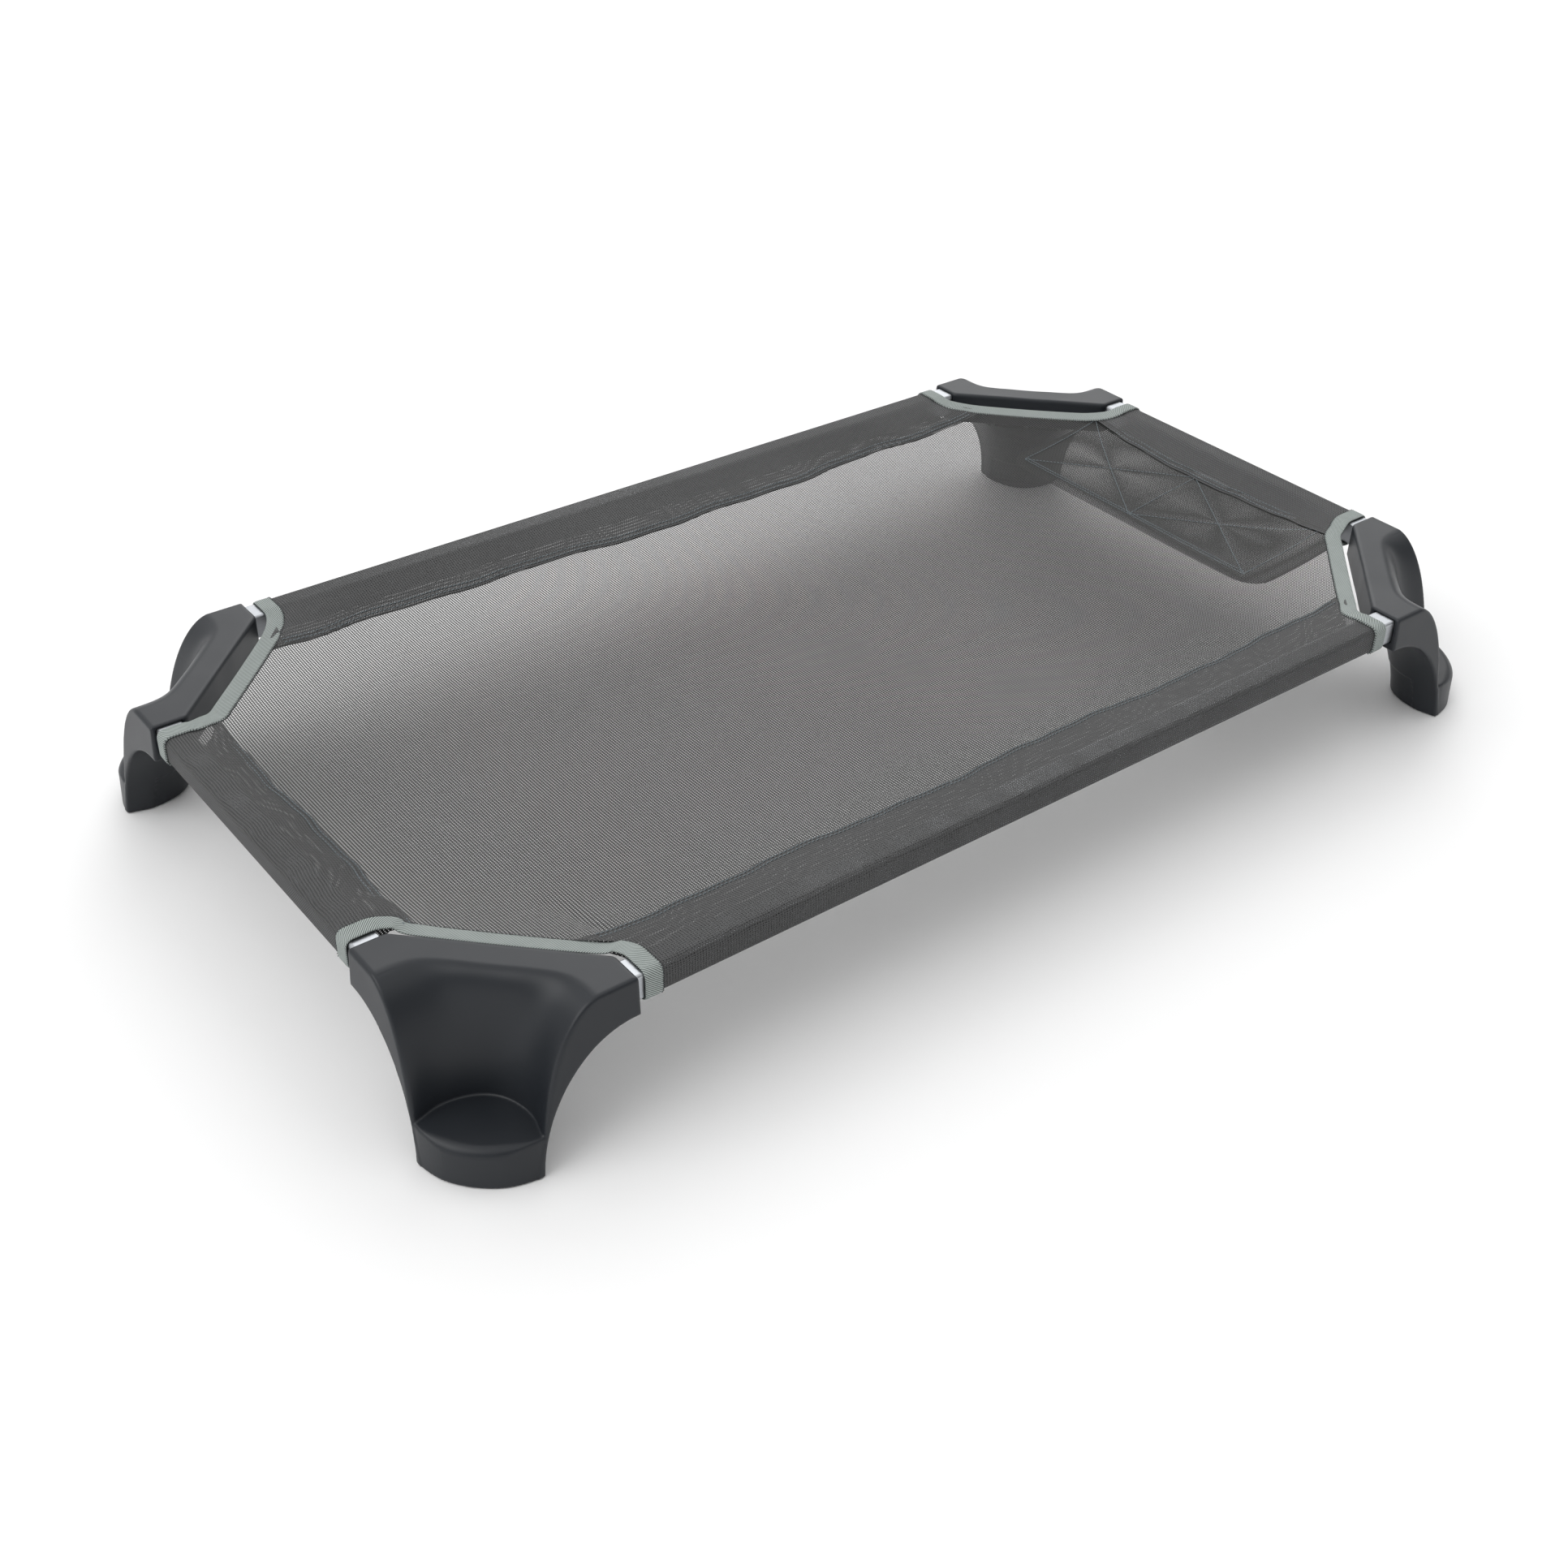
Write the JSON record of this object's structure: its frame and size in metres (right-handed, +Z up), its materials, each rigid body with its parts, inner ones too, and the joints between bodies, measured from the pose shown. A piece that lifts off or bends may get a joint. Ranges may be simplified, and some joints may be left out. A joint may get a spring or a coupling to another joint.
{
  "type": "raised dog bed",
  "caption": "Raised dog bed: a see-through mesh panel in sleeves on a square-tube frame, with scooped moulded corner feet that stack.",
  "frame": {"origin": "on the floor under the middle of the bed", "axes": "+X along the bed's length towards the end with the flap, +Y across its width towards the back, +Z up"},
  "size_m": [1.236, 0.706, 0.146],
  "materials": {
    "foot_plastic": "matte charcoal polypropylene, finely textured",
    "tube_aluminium": "satin mill finish",
    "screw_steel": "zinc plated",
    "mesh_cloth": "open weave of coated polyester yarn, grey, about a quarter of it open",
    "sleeve_cloth": "the same open weave in a double layer round the tubes, so darker",
    "webbing": "herringbone polyester tape, light grey-green",
    "thread": "twisted polyester thread, blue-grey"
  },
  "bodies": {
    "root": {"foot_front_left": "foot_plastic", "foot_front_right": "foot_plastic", "foot_back_left": "foot_plastic", "foot_back_right": "foot_plastic", "tube_front": "tube_aluminium", "tube_back": "tube_aluminium", "tube_left": "tube_aluminium", "tube_right": "tube_aluminium", "tube_screws": "screw_steel", "mesh_panel": "mesh_cloth", "sleeve_front": "sleeve_cloth", "sleeve_back": "sleeve_cloth", "sleeve_left": "sleeve_cloth", "sleeve_right": "sleeve_cloth", "binding_front_left": "webbing", "binding_front_right": "webbing", "binding_back_left": "webbing", "binding_back_right": "webbing", "end_flap": "mesh_cloth", "hem_stitching_front": "thread", "hem_stitching_back": "thread", "hem_stitching_left": "thread", "hem_stitching_right": "thread", "flap_stitching": "thread"}
  },
  "joints": []
}
